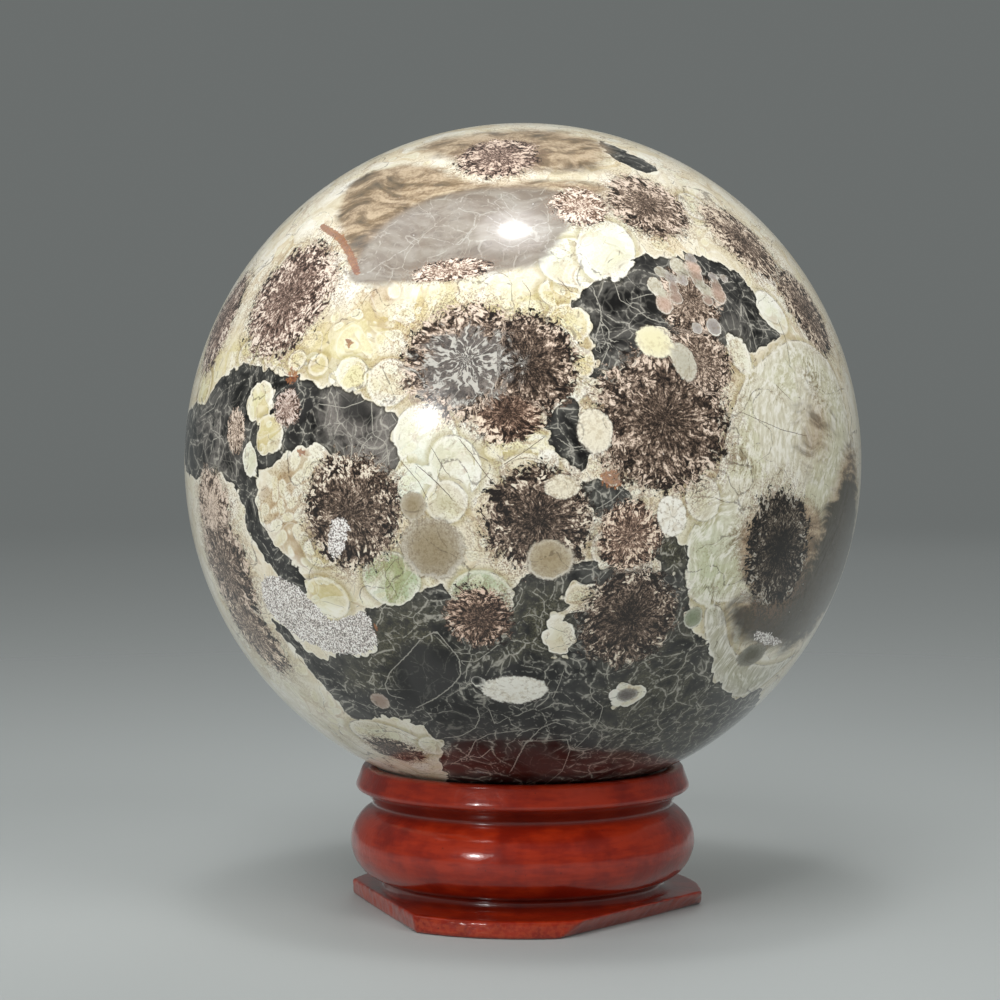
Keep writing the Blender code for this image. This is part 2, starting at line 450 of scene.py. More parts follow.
stain("rust", stroke([(348, 341), (350, 344)])[0] - 0.3, 0.3, 0.8)
stain("rust", stroke([(300, 452), (304, 453)])[0] - 0.3, 0.4, 0.8)
stain("rust", stroke([(375, 626), (374, 636)])[0] - 0.25, 0.4, 0.8)
stain("moss", outline([
    (366, 612), (438, 600), (446, 640), (470, 660), (500, 640), (520, 590), (564, 580), (566, 640),
    (540, 660), (480, 668), (440, 650), (400, 690), (360, 700), (340, 670), (375, 650)]), 3.0)
stain("moss", outline([(590, 680), (680, 600), (705, 650), (720, 720), (680, 760), (600, 750)]), 4.0, 0.8)
stain("moss", outline([(654, 538), (681, 538), (687, 567), (665, 571)]), 1.0)
stain("crust", outline([
    (262, 572), (290, 580), (312, 600), (330, 622), (352, 615), (366, 608), (378, 636), (372, 654),
    (345, 655), (318, 648), (290, 632), (262, 604)]), 0.6)
stain("crust", outline([(326, 536), (336, 514), (350, 522), (344, 548), (334, 566)]), 0.5)
stain("crust", outline([(748, 632), (764, 630), (785, 642), (776, 646), (756, 642)]), 0.5)
stain("glass", outline([
    (395, 650), (420, 638), (455, 650), (462, 680), (440, 704), (410, 712), (392, 690)]), 0.8)
stain("glass", outline([(470, 700), (500, 708), (490, 740), (440, 740), (430, 720)]), 1.5, 0.8)
stain("glass", outline([(500, 745), (560, 740), (565, 775), (510, 780)]), 1.5)
stain("glass", outline([(345, 392), (372, 404), (376, 424), (350, 426), (336, 410)]), 1.0)
stain("glass", outline([(638, 286), (660, 284), (672, 310), (664, 322), (642, 312)]), 0.8)
net_along, net_over = disc((464, 366), 7.4, 6.0, 0)
stain("net", (np.hypot(net_along, net_over) - 1) * 3, 3.4)
stain("mist", outline([
    (320, 396), (345, 392), (392, 412), (400, 440), (398, 470), (374, 476), (344, 452), (318, 430)]), 2.0)
stain("mist", outline([(190, 420), (214, 400), (240, 400), (246, 440), (236, 480), (206, 470)]), 2.4, 0.6)
stain("mist", outline([
    (582, 300), (612, 280), (640, 262), (720, 268), (752, 300), (770, 334), (740, 344), (700, 340),
    (650, 330), (620, 366), (598, 366)]), 2.4, 0.3)
stain("beads", outline([
    (262, 500), (270, 476), (290, 452), (320, 444), (338, 456), (318, 476), (302, 500), (300, 536),
    (318, 566), (300, 566), (276, 546)]), 1.0)
stain("beads", outline([(366, 286), (400, 276), (412, 290), (390, 306), (366, 304)]), 1.0)
stain("beads", outline([
    (560, 500), (600, 520), (640, 500), (660, 540), (640, 570), (590, 570), (566, 540)]), 1.5, 0.7)
stain("body", outline([
    (788, 334), (840, 372), (856, 440), (850, 500), (810, 600), (690, 606), (680, 580), (686, 536),
    (721, 462), (743, 380), (762, 356)]), 0.5)
stain("body", outline(LOWER_BODY), 0.5)

# %% [markdown]
# ## Layer three: the flowers
#
# The flowers are sprays of dark needles that grew outwards from one point. For each corner we store
# where it lies in the nearest flower, in millimetres from its centre, so the nodes can draw along
# the radius and round it.

# %% Place the flowers
bloom_reach = np.full(corner_count, 9.0)
bloom_at = np.zeros((corner_count, 3))
bloom_hue = np.ones((corner_count, 3))
bloom_bed = np.tile(PINK_CREAM, (corner_count, 1))
bloom_core = np.zeros(corner_count)
bloom_lift = np.zeros(corner_count)
bloom_seed = 0

BROWN = np.array((1.0, 1.0, 1.0))
PLUM = np.array((1.04, 0.97, 1.02))
REDDISH = np.array((1.06, 0.94, 0.90))
BLACKISH = np.array((0.6, 0.66, 0.66))


def bloom(name, at, across, tall=None, tilt=0.0, core=0.5, hue=BROWN, bed=PINK_CREAM, lift=0.0):
    """A spray of needles. The core is how dark its middle is, the lift how pale all of it is."""
    global bloom_reach, bloom_at, bloom_hue, bloom_bed, bloom_core, bloom_lift, bloom_seed
    tall = tall or across
    along, over = disc(at, across, tall, tilt)
    reach = np.hypot(along, over)
    mine = reach < bloom_reach
    size = (across + tall) / 4
    bloom_seed += 1
    where = np.stack((along * size, over * size, np.full(corner_count, float(bloom_seed))), 1)
    bloom_reach = np.where(mine, reach, bloom_reach)
    bloom_at = np.where(mine[:, None], where, bloom_at)
    bloom_hue = np.where(mine[:, None], hue, bloom_hue)
    bloom_bed = np.where(mine[:, None], bed, bloom_bed)
    bloom_core = np.where(mine, core, bloom_core)
    bloom_lift = np.where(mine, lift, bloom_lift)


bloom("upper left", (288, 298), 9.4, 10.4, 0, 0.5, PLUM, CREAM, 0.10)
bloom("left edge", (222, 322), 6.5, 8.8, 0, 0.5, PLUM, CREAM, 0.10)
bloom("middle, right half", (526, 364), 8.0, 8.4, 0, 0.9, BROWN, PINK_CREAM, -0.05)
bloom("middle, left half", (466, 360), 10.0, 9.2, 0, 0.1, BROWN, PINK_CREAM, 0.08)
bloom("tail of the middle flower", (508, 412), 5.6, 4.6, 0, 0.5, REDDISH, CREAM, -0.02)
bloom("right", (664, 420), 11.6, 11.2, 0, 0.9, BROWN, PINK_CREAM, 0.02)
bloom("right, top", (700, 362), 6.0, 6.0, 0, 0.0, BROWN, PINK_CREAM, 0.10)
bloom("star", (350, 512), 8.4, 9.2, -30, 0.8, BROWN, CREAM, 0.02)
bloom("under the middle", (538, 520), 8.6, 8.2, 0, 0.7, BROWN, CREAM, -0.08)
bloom("lower right", (630, 618), 8.0, 8.6, 0, 0.8, BROWN, BONE, -0.11)
bloom("small, at the bottom", (479, 618), 5.2, 5.2, 0, 0.5, REDDISH, PINK_CREAM, -0.04)
bloom("upper right", (648, 205), 7.0, 7.4, 0, 0.6, BROWN, PINK_CREAM, 0.10)
bloom("right shoulder", (742, 240), 6.0, 8.8, 30, 0.6, BROWN, WARM_CREAM, 0.08)
bloom("right shoulder, lower", (806, 310), 6.0, 8.4, 30, 0.6, BROWN, WARM_CREAM, 0.04)
bloom("top", (498, 156), 6.6, 7.2, 0, 0.3, PLUM, WARM_CREAM, 0.12)
bloom("left, low", (226, 566), 8.0, 11.0, 10, 0.2, BROWN, PINK_CREAM, 0.06)
bloom("left edge, low", (212, 508), 6.4, 6.4, 0, -0.9, BROWN, PINK_CREAM, 0.24)
bloom("lower left edge", (252, 630), 6.0, 9.0, 35, -0.3, BROWN, WARM_CREAM, 0.06)
bloom("in the lower left orb", (394, 750), 5.6, 3.6, -14, 0.7, BROWN, BONE, -0.04)
bloom("dark patch in the big body", (780, 549), 7.8, 10.0, 22, 1.6, BLACKISH, LILAC, -0.10)
bloom("small, right of the middle", (630, 536), 5.2, 5.6, 0, 0.0, REDDISH, CREAM, 0.09)
bloom("pink spray by the quartz", (580, 206), 4.6, 4.4, 0, -0.6, REDDISH, CHALK, 0.20)
bloom("net edge", (690, 300), 5.6, 6.4, -20, 0.2, BROWN, PINK_CREAM, 0.10)
bloom("pinkish, under the quartz", (450, 270), 6.4, 2.0, 8, -0.6, REDDISH, CHALK, 0.18)
bloom("speckles by the left lobes", (236, 431), 2.6, 3.6, 10, -0.4, BROWN, PINK_CREAM, 0.20)
bloom("lilac speckles", (287, 408), 2.8, 3.0, 0, -0.4, PLUM, LILAC, 0.20)
print("flowers on the side that the camera sees:", bloom_seed)

# %% [markdown]
# ## Layer four: the orbs
#
# Orbs are small balls of pale mineral, cut through by the polishing. Most have a lighter rim.

# %% Place the orbs
orb_reach = np.full(corner_count, 9.0)
orb_at = np.zeros((corner_count, 3))
orb_tint = np.tile(CREAM, (corner_count, 1))
orb_style = np.zeros((corner_count, 3))
orb_seed = 0


def orb(name, at, across, tall=None, tilt=0.0, colour=CREAM, rim=0.3, rays=0.0, grain=0.3):
    """A small round body, with how strong its rim, its rays and its grain are."""
    global orb_reach, orb_at, orb_tint, orb_style, orb_seed
    tall = tall or across
    along, over = disc(at, across, tall, tilt)
    reach = np.hypot(along, over)
    orb_seed += 1
    size = (across + tall) / 4
    mine = reach < np.minimum(orb_reach, 2.0)
    where = np.stack((along * size, over * size, np.full(corner_count, float(orb_seed))), 1)
    orb_reach = np.minimum(orb_reach, reach)
    orb_at = np.where(mine[:, None], where, orb_at)
    orb_tint = np.where(mine[:, None], colour, orb_tint)
    orb_style = np.where(mine[:, None], (rim, rays, grain), orb_style)


orb("large beige", (433, 549), 4.8, 4.8, 0, BEIGE, 0.35, 0.0, 0.9)
orb("small beige", (413, 506), 2.0, 2.2, 0, BEIGE, 0.2, 0.0, 0.4)
orb("cream in the flower", (550, 560), 3.7, 3.1, 0, BEIGE * 1.2, 0.5, 0.3, 0.6)
orb("with dark spots", (562, 487), 2.6, 1.9, 0, CREAM, 0.2, 0.0, 1.0)
orb("with rays", (672, 516), 2.4, 3.1, 15, CHALK, 0.5, 0.8, 0.2)
orb("grey, with a white ring", (627, 695), 1.8, 1.4, 0, LILAC * 0.35, 0.4, 0.0, 0.8)
orb("white oval", (515, 690), 5.1, 2.8, 0, CHALK, 0.3, 0.5, 0.2)
orb("tiny ring", (477, 681), 1.0, 1.0, 0, INK, 1.0, 0.0, 0.0)
orb("green ring", (693, 618), 1.7, 1.9, 0, PALE_GREEN * 0.5, 0.6, 0.0, 0.6)
orb("ring on the net", (714, 327), 1.4, 1.5, 0, LILAC * 0.7, 0.8, 0.5, 0.3)
orb("small ring on the net", (697, 328), 1.0, 1.0, 0, LILAC * 0.8, 0.5, 0.0, 0.3)
orb("lobe left of the right flower", (595, 431), 2.7, 3.4, 10, CREAM, 0.3, 0.2, 0.4)
orb("yellow green", (654, 342), 3.1, 2.5, -20, YELLOW_CREAM, 0.2, 0.0, 0.1)
orb("beige below it", (684, 362), 2.0, 3.2, 15, BONE * 0.7, 0.1, 0.0, 0.5)
orb("pink, in the lower left", (380, 701), 1.7, 1.7, 0, PINK_CREAM * 0.5, 0.1, 0.7, 0.2)
orb("grey green below the streak", (752, 655), 3.4, 2.2, 0, MOSS, 0.0, 0.0, 0.3)
orb("pit", (311, 412), 0.55, 0.35, 0, INK * 0.3, 0.0, 0.0, 0.0)


def cluster(name, at, spread, count):
    """Small pink and white beads that crowd round a pixel, up to that many pixels from it."""
    dice = np.random.default_rng(at[0])
    for number in range(count):
        turn = number * GOLDEN_TURN
        reach = spread * math.sqrt((number + 0.5) / count)
        spot = (at[0] + reach * math.cos(turn), at[1] + reach * math.sin(turn))
        size = dice.uniform(0.8, 1.5)
        colour = (PINK_CREAM, BONE, LILAC)[number % 3] * dice.uniform(0.45, 0.9)
        orb(name, spot, size, size * dice.uniform(0.8, 1.2), 0, colour, 0.5, 0.0, 1.0)


GOLDEN_TURN = math.radians(137.5)
cluster("left beads on the net", (669, 288), 19, 8)
cluster("upper beads on the net", (690, 268), 13, 5)
cluster("right beads on the net", (712, 286), 16, 7)
print("orbs on the side that the camera sees:", orb_seed)

# %% [markdown]
# ## Layer five: veins and cracks
#
# Later movements of the rock opened cracks. In the dark ground they healed with white quartz, in the
# pale bodies they stayed thin and dark. The largest ones are listed here. To stay sharp between
# the mesh's corners, a line is kept as a distance that is below 0 on its one side and above 0 on the other.

# %% Draw the veins and the cracks
FIELD_WIDTH = 0.1
lines = {kind: [np.full(corner_count, 9.0), np.full(corner_count, 9.0)] for kind in ("vein", "crack")}


def line(kind, pixels, width):
    """A thin line with a width in millimetres."""
    nearest, side = stroke(pixels)
    away, signed = lines[kind]
    closer = nearest - width / 2 < away
    signed = np.where(closer, side * nearest * FIELD_WIDTH / width, signed)
    lines[kind] = [np.minimum(away, nearest - width / 2), signed]


for width, pixels in (
    (0.12, [(421, 639), (408, 654), (390, 672), (385, 685), (389, 695), (401, 698)]),
    (0.14, [(421, 639), (436, 631), (444, 640), (459, 658), (461, 675), (452, 686), (436, 698), (418, 707)]),
    (0.10, [(461, 661), (475, 662), (489, 652), (498, 645)]),
    (0.12, [(445, 738), (461, 736), (475, 728), (480, 718), (477, 709)]),
    (0.12, [(466, 760), (475, 741), (489, 734), (507, 732), (521, 730)]),
    (0.12, [(452, 764), (468, 755), (480, 758), (492, 748)]),
    (0.14, [(511, 771), (518, 757), (525, 744), (541, 728), (555, 722), (563, 725)]),
    (0.10, [(521, 741), (539, 741), (567, 739), (570, 750), (562, 771), (544, 785)]),
    (0.08, [(553, 698), (560, 682), (563, 672)]),
    (0.10, [(590, 689), (592, 698), (603, 707), (599, 721), (585, 739), (573, 750)]),
    (0.08, [(507, 718), (495, 725), (489, 709)]),
    (0.13, [(593, 290), (597, 299), (601, 310), (601, 321), (596, 336), (595, 348)]),
    (0.11, [(601, 321), (609, 330), (609, 346), (602, 363)]),
    (0.10, [(604, 342), (615, 342)]),
    (0.10, [(633, 299), (646, 295), (658, 293)]),
    (0.12, [(636, 308), (646, 317), (659, 322), (672, 323)]),
    (0.10, [(745, 310), (750, 324), (754, 339), (757, 351)]),
    (0.10, [(613, 278), (620, 300), (634, 308)]),
    (0.10, [(371, 398), (372, 415), (373, 435), (362, 446), (357, 458)]),
    (0.10, [(373, 435), (386, 442), (388, 456), (379, 467), (374, 474)]),
    (0.10, [(320, 404), (344, 408), (364, 401), (368, 394)]),
    (0.14, [(211, 452), (213, 440), (221, 436)]),
    (0.12, [(201, 417), (214, 408), (218, 398)]),
    (0.08, [(390, 412), (402, 430), (400, 450)]),
    (0.10, [(598, 508), (612, 500), (622, 490)]),
    (0.10, [(560, 440), (572, 448), (584, 446)]),
):
    line("vein", pixels, width)
for width, pixels in (
    (0.10, [(419, 467), (431, 477), (440, 486), (452, 498)]),
    (0.07, [(400, 460), (419, 482), (427, 498)]),
    (0.07, [(432, 448), (444, 469), (448, 475)]),
    (0.07, [(463, 442), (475, 458)]),
    (0.08, [(460, 440), (472, 455), (482, 469), (490, 480)]),
    (0.08, [(506, 463), (524, 452), (543, 438)]),
    (0.09, [(573, 373), (587, 383), (597, 390)]),
    (0.08, [(560, 280), (570, 291)]),
    (0.06, [(524, 283), (531, 293), (528, 312)]),
    (0.07, [(776, 385), (790, 399)]),
    (0.07, [(741, 412), (759, 420), (782, 430), (806, 436)]),
    (0.08, [(779, 322), (786, 340), (790, 364)]),
    (0.06, [(395, 560), (384, 574), (398, 596)]),
    (0.06, [(430, 620), (424, 600)]),
    (0.06, [(372, 508), (392, 530), (404, 556)]),
    (0.06, [(344, 500), (356, 520), (372, 534)]),
):
    line("crack", pixels, width)
print("corners near a vein:", int((lines["vein"][0] < 0.3).sum()))

# %% [markdown]
# ## The side that the camera doesn't see
#
# The pattern goes on all round. Behind, the same kinds of features are scattered with seeded random
# numbers, about as closely as in front. Each keeps its own half width away from the edge that the camera
# sees, so that hardly anything of it shows there, and each takes the loneliest of a few random places,
# so that they spread evenly.

# %% Find places on the hidden side
EDGE_ANGLE = 84
TRIES = 12
scatter = np.random.default_rng(56)
to_camera = np.array((CAMERA_PLACE - BALL_CENTRE).normalized())


def hidden_place(half_width, placed):
    """A place that the camera doesn't see, as far from those placed before as a few tries find."""
    limit = math.cos(math.radians(EDGE_ANGLE) + half_width / BALL_MM)
    tries = scatter.normal(size=(8 * TRIES, 3))
    tries /= np.linalg.norm(tries, axis=1, keepdims=True)
    tries = tries[tries @ to_camera < limit][:TRIES]
    gaps = [min([math.dist(way, other) for other in placed] + [2.0]) for way in tries]
    placed.append(tries[int(np.argmax(gaps))])
    return tuple(placed[-1])


def beside(way, reach):
    """A direction about that many millimetres away from another one."""
    moved = np.array(way) + scatter.normal(size=3) * reach / BALL_MM
    return tuple(moved / np.linalg.norm(moved))


# %% Scatter features over the hidden side
washed, darkened, lobed, bloomed, orbed, stained = [], [], [], [], [], []
for number in range(12):
    across, tall = scatter.uniform(10, 18), scatter.uniform(6, 10)
    along, over = disc(hidden_place(across / 2, washed), across, tall, scatter.uniform(0, 90))
    hue = (YELLOW_CREAM, MINT, STRAW, WARM_CREAM)[number % 4]
    wash("hidden wash", hue, (np.hypot(along, over) - 1) * tall / 2, 3.0, 0.8)

for number in range(13):
    spread = scatter.uniform(3.5, 8.0)
    middle = np.array(hidden_place(spread * 1.4, darkened))
    side = np.cross(middle, scatter.normal(size=3))
    side /= np.linalg.norm(side)
    other = np.cross(middle, side) * scatter.uniform(0.4, 0.8)
    ring_of_places = []
    for step in range(10):
        turn = 2 * math.pi * step / 10
        reach = spread / BALL_MM * scatter.uniform(0.6, 1.4)
        ring_of_places.append(tuple(middle + reach * (side * math.cos(turn) + other * math.sin(turn))))
    dark_area("hidden dark area", ring_of_places)

for number in range(96):
    if number % 4 == 0:
        cluster_place = hidden_place(5.0, lobed)
    size = scatter.uniform(1.6, 4.6)
    hue = (CREAM, YELLOW_CREAM, MINT, BONE, CREAM, PALE_GREEN, YELLOW_CREAM)[number % 7]
    lobe("hidden lobe", beside(cluster_place, 2.4), size, size * scatter.uniform(0.8, 1.2),
         scatter.uniform(0, 90), hue)

for number in range(34):
    size = scatter.uniform(4.5, 11.0)
    hue = (BROWN, PLUM, BROWN, REDDISH)[number % 4]
    bloom("hidden flower", hidden_place(size / 2, bloomed), size, size * scatter.uniform(0.85, 1.15),
          scatter.uniform(0, 90), scatter.uniform(0.3, 0.9), hue, (PINK_CREAM, CREAM)[number % 2],
          scatter.uniform(-0.08, 0.12))

for number in range(30):
    size = scatter.uniform(1.2, 4.4)
    hue = (YELLOW_CREAM, LILAC * 0.8, PINK_CREAM * 0.8, BEIGE, BONE, BEIGE * 1.2)[number % 6]
    orb("hidden orb", hidden_place(size / 2, orbed), size, size * scatter.uniform(0.8, 1.2),
        scatter.uniform(0, 90), hue, scatter.uniform(0.2, 0.6), 0.5 * (number % 3 == 0),
        scatter.uniform(0.4, 1.0))

for number, kind in enumerate(("quartz", "smoke", "moss", "crust", "beads", "body", "mist", "glass") * 2):
    across, tall = scatter.uniform(7, 14), scatter.uniform(3, 7)
    along, over = disc(hidden_place(across / 2, stained), across, tall, scatter.uniform(0, 90))
    stain(kind, (np.hypot(along, over) - 1) * tall / 2, 1.5)
print("flowers in all:", bloom_seed, " orbs in all:", orb_seed)

# %% [markdown]
# ## Writing the fields onto the mesh
#
# Blender calls such numbers attributes. Three numbers fit into one vector, so related ones share it.
# Slow waves in the stone are worked out here, too, once for each corner, which is far quicker to
# render than asking a noise node at every ray. Blender begins these waves at another random place each
# time it starts, so a seed is set first, and the stone stays the same.


# %% Store the attributes
def store(name, columns):
    """Stores three numbers for each corner."""
    layer = ball_mesh.attributes.new(name, "FLOAT_VECTOR", "POINT")
    layer.data.foreach_set("vector", np.stack(columns, 1).astype(np.float32).ravel())


def waves(per_mm, offset):
    """Slow random waves in three directions at every corner."""
    places = facing * BALL_MM * per_mm + offset
    return np.array([noise.noise_vector(Vector(place)) for place in places])


WAVE_SEED = 56
noise.seed_set(WAVE_SEED)
ball_mesh.vertices.foreach_set("co", (facing * BALL_RADIUS + np.array(BALL_CENTRE)).ravel())
ball_mesh.update()
bent = facing * BALL_MM + waves(0.16, 3.0) * 1.6 + waves(0.5, 17.0) * 0.7
soft_waves = waves(0.3, 29.0)
zero = np.zeros(corner_count)
store("bent", bent.T)
store("slow", soft_waves.T * 0.5 + 0.5)
store("ground", (ground, fold, np.abs(fold)))
store("stain", (stains["quartz"], stains["smoke"], stains["rust"]))
store("grit", (stains["moss"], stains["crust"], stains["glass"]))
store("grain", (stains["beads"], stains["body"], stains["net"]))
store("tint", tint.T)
store("vein", (lines["vein"][0], lines["vein"][1], zero))
store("crack", (lines["crack"][0], lines["crack"][1], zero))
store("bloom_at", bloom_at.T)
store("bloom_mark", (np.minimum(bloom_reach, 4.0), bloom_core, bloom_lift))
store("bloom_hue", bloom_hue.T)
store("bloom_bed", bloom_bed.T)
store("orb_at", orb_at.T)
store("orb_mark", (np.minimum(orb_reach, 4.0), orb_style[:, 0], orb_style[:, 1]))
store("orb_tint", orb_tint.T)
store("orb_grain", (orb_style[:, 2], stains["deep"], stains["mist"]))
ball_mesh.shade_smooth()
ball = bpy.data.objects.new("polished_ball", ball_mesh)
bpy.context.scene.collection.objects.link(ball)
print("attributes:", len(ball_mesh.attributes))

# %% [markdown]
# ## Writing nodes as sums
#
# A material is a web of nodes. Drawn by hand it soon gets tangled, so here a small class wraps the
# output of a node, and Python's plus and times make the Math nodes between them.


# %% A socket that can be used in a sum
class Wire:
    """The output of one node."""

    def __init__(self, recipe, socket):
        self.recipe = recipe
        self.socket = socket

    def maths(self, operation, *others):
        return self.recipe.maths(operation, self, *others)

    def __add__(self, other):
        return self.maths("ADD", other)

    def __mul__(self, other):
        return self.maths("MULTIPLY", other)

    def __sub__(self, other):
        return self.maths("SUBTRACT", other)

    def __rsub__(self, other):
        return self.recipe.maths("SUBTRACT", other, self)

    def __truediv__(self, other):
        return self.maths("DIVIDE", other)

    def __rtruediv__(self, other):
        return self.recipe.maths("DIVIDE", other, self)

    def __pow__(self, other):
        return self.maths("POWER", other)

    def __abs__(self):
        return self.maths("ABSOLUTE")

    __radd__ = __add__
    __rmul__ = __mul__

    def rise(self, low, high):
        """0 below low and 1 above high, with a soft step between."""
        return self.recipe.node(
            "ShaderNodeMapRange", {"interpolation_type": "SMOOTHSTEP"},
            {"Value": self, "From Min": low, "From Max": high}, "Result")

    def fall(self, low, high):
        """1 below low and 0 above high."""
        return 1 - self.rise(low, high)

    def most(self, other):
        return self.maths("MAXIMUM", other)

    def also(self, out):
        """Another output of the same node."""
        return Wire(self.recipe, self.socket.node.outputs[out])


class Recipe:
    """The nodes of one material."""

    def __init__(self, name):
        self.material = bpy.data.materials.new(name)
        self.material.use_nodes = True
        self.tree = self.material.node_tree
        self.shader = self.tree.nodes["Principled BSDF"]

    def node(self, kind, settings, sockets, out):
        """Adds any node: its settings come first, then the values or links of its sockets."""
        made = self.tree.nodes.new(kind)
        for name, value in settings.items():
            if name == "stops":
                self.set_stops(made.color_ramp, value)
            else:
                setattr(made, name, value)
        for name, value in sockets.items():
            self.join(made.inputs[name], value)
        return Wire(self, made.outputs[out])

    def set_stops(self, ramp, stops):
        """Fills a colour ramp with pairs of a position and a colour."""
        for position, _ in stops[1:-1]:
            ramp.elements.new(position)
        for element, (position, colour) in zip(ramp.elements, stops):
            element.position = position
            element.color = (*colour, 1.0)

    def join(self, socket, value):
        if isinstance(value, Wire):
            self.tree.links.new(value.socket, socket)
        elif socket.type == "RGBA":
            socket.default_value = (*value, 1.0)
        else:
            socket.default_value = value

    def maths(self, operation, *values):
        return self.node("ShaderNodeMath", {"operation": operation}, dict(enumerate(values)), 0)

    def vector(self, operation, *values):
        return self.node("ShaderNodeVectorMath", {"operation": operation}, dict(enumerate(values)), 0)

    def stretch(self, vector, factor):
        return self.node("ShaderNodeVectorMath", {"operation": "SCALE"}, {0: vector, "Scale": factor}, 0)

    def along(self, vector, way):
        return self.node("ShaderNodeVectorMath", {"operation": "DOT_PRODUCT"}, {0: vector, 1: way}, "Value")

    def pack(self, x, y, z):
        return self.node("ShaderNodeCombineXYZ", {}, {"X": x, "Y": y, "Z": z}, 0)

    def parts(self, vector):
        split = self.node("ShaderNodeSeparateXYZ", {}, {0: vector}, "X")
        return split, split.also("Y"), split.also("Z")

    def blend(self, low, high, share, how="MIX"):
        """Mixes two colours."""
        return self.node(
            "ShaderNodeMix", {"data_type": "RGBA", "blend_type": how},
            {0: share, 6: low, 7: high}, 2)

    def darker(self, colour, by, share):
        """Multiplies a colour where the share is high."""
        return self.blend(colour, by, share, "MULTIPLY")

    def read(self, name):
        """A vector stored on the mesh."""
        return self.node("ShaderNodeAttribute", {"attribute_name": name}, {}, "Vector")

    def clouds(self, scale, at, detail=2.0, rough=0.55, warp=0.0, out="Fac"):
        return self.node(
            "ShaderNodeTexNoise", {},
            {"Vector": at, "Scale": scale, "Detail": detail, "Roughness": rough, "Distortion": warp}, out)

    def cells(self, scale, at, feature="F1", out="Distance"):
        return self.node("ShaderNodeTexVoronoi", {"feature": feature}, {"Vector": at, "Scale": scale}, out)

    def set(self, name, value):
        """Sets or links a socket of the shader itself."""
        self.join(self.shader.inputs[name], value)


# %% [markdown]
# ## Shared noises
#
# A few noises are used again and again, so that the parts of the stone belong together: slow waves,
# middling clouds, fine grain and the finest dust. A crumpled copy of the coordinates bends all lines.

# %% Start the stone
stone = Recipe("flower_stone")
place = stone.stretch(stone.node("ShaderNodeTexCoord", {}, {}, "Object"), 1 / MM)
bent_place = stone.read("bent")
shiver = stone.vector("SUBTRACT", stone.clouds(1.6, bent_place, detail=1.0, out="Color"), (0.5, 0.5, 0.5))
crumpled = stone.vector("ADD", bent_place, stone.stretch(shiver, 0.35))
slow, _, slow_third = stone.parts(stone.read("slow"))
middling = stone.clouds(1.2, bent_place, detail=2.0)
fine = stone.clouds(4.0, place, detail=1.5, rough=0.62)
finest = stone.clouds(8.5, place, detail=0.5, rough=0.6)

ground_mm, fold_mm, fold_near = stone.parts(stone.read("ground"))
quartz_share, smoke_share, rust_share = stone.parts(stone.read("stain"))
moss_share, crust_share, glass_share = stone.parts(stone.read("grit"))
beads_share, body_share, net_share = stone.parts(stone.read("grain"))
orb_speckle, deep_share, mist_share = stone.parts(stone.read("orb_grain"))

# %% [markdown]
# ## The dark ground
#
# Between the lobes the stone is nearly black glass, broken into cells. The cells' borders are hazy and
# greenish, and hair-thin white veins run along them. The distance to a border draws both.


# %% Mix the dark ground
def ways(vector, turn):
    """Shifts the coordinates, so that one recipe gives another noise."""
    return stone.vector("ADD", vector, (turn * 13.1, turn * 7.7, turn * 3.3))


def ridge(scale, at, width, detail=1.0):
    """Winding lines of about that width in millimetres, where a noise crosses its middle value."""
    return abs(stone.clouds(scale, at, detail=detail) - 0.5).fall(width * scale * 0.15, width * scale * 0.7)


def drawn(name, width):
    """The lines that were drawn one by one."""
    near, signed, _ = stone.parts(stone.read(name))
    return abs(signed + (fine - 0.5) * 0.12).fall(width * 0.5, width * 1.3) * near.fall(0.2, 0.34)


open_net = stone.cells(0.42, crumpled, "DISTANCE_TO_EDGE")
close_net = stone.cells(1.05, ways(crumpled, 1), "DISTANCE_TO_EDGE")
patchy = fine * 0.4 + middling * 0.6
open_veins = open_net.fall(0.006, 0.032) * patchy.rise(0.40, 0.54)
close_veins = close_net.fall(0.010, 0.08) * patchy.rise(0.47, 0.58).most(mist_share * 0.8)
veins = (open_veins * 0.75).most(close_veins * 0.45)
veins = (veins * (1 - glass_share * 0.85)).most(drawn("vein", 0.036) * 0.7)

grains = (fine * 0.5 + finest * 0.5).rise(0.38, 0.64)
haze = open_net.fall(0.0, 0.22) * 0.30 + (middling - 0.46) * 1.6 + (slow - 0.5) * 0.5
haze = haze + moss_share * 0.42 + mist_share * 0.45 + ground_mm.fall(0.0, 1.4) * 0.28
haze = haze.rise(0.05, 0.85) * (1 - glass_share * 0.9) * (1 - (1 - grains) * (0.25 + moss_share * 0.5))
dark = stone.blend(INK, SLATE, slow_third.rise(0.35, 0.62))
haze_tone = stone.blend(stone.blend(HAZE, MIST, mist_share), MOSS, moss_share)
dark = stone.blend(dark, haze_tone, haze)
dark = stone.blend(dark, VEIN, veins)
print("nodes in the dark ground:", len(stone.tree.nodes))

# %% [markdown]
# ## The pale ground
#
# The pale stone grew as lobes that press against each other, like the florets of a cauliflower. Round
# cells of two sizes make them: each has a tint of its own, a painted light rim, and painted shade in the
# gaps.


# %% Mix the pale ground
def florets(scale, reach, at):
    """Round cells: the distance from the middle, inside, a painted light rim, and three random numbers."""
    distance = stone.cells(scale, at)
    inside = distance.fall(reach - 0.02, reach + 0.02)
    rim = distance.rise(reach - 0.18 * scale, reach - 0.04 * scale) * inside
    return distance, inside, rim, stone.parts(distance.also("Color"))


lobe_place = stone.vector("ADD", bent_place, stone.stretch(shiver, 0.15))
large_away, _, large_rim_light, (large_a, large_b, _) = florets(0.36, 0.60, lobe_place)
small_away, small_in, small_rim_light, (_, small_b, small_c) = florets(0.95, 0.50, ways(lobe_place, 3))
on_lobes = 1 - body_share
small_here = small_c.rise(0.56, 0.60).most(beads_share) * on_lobes

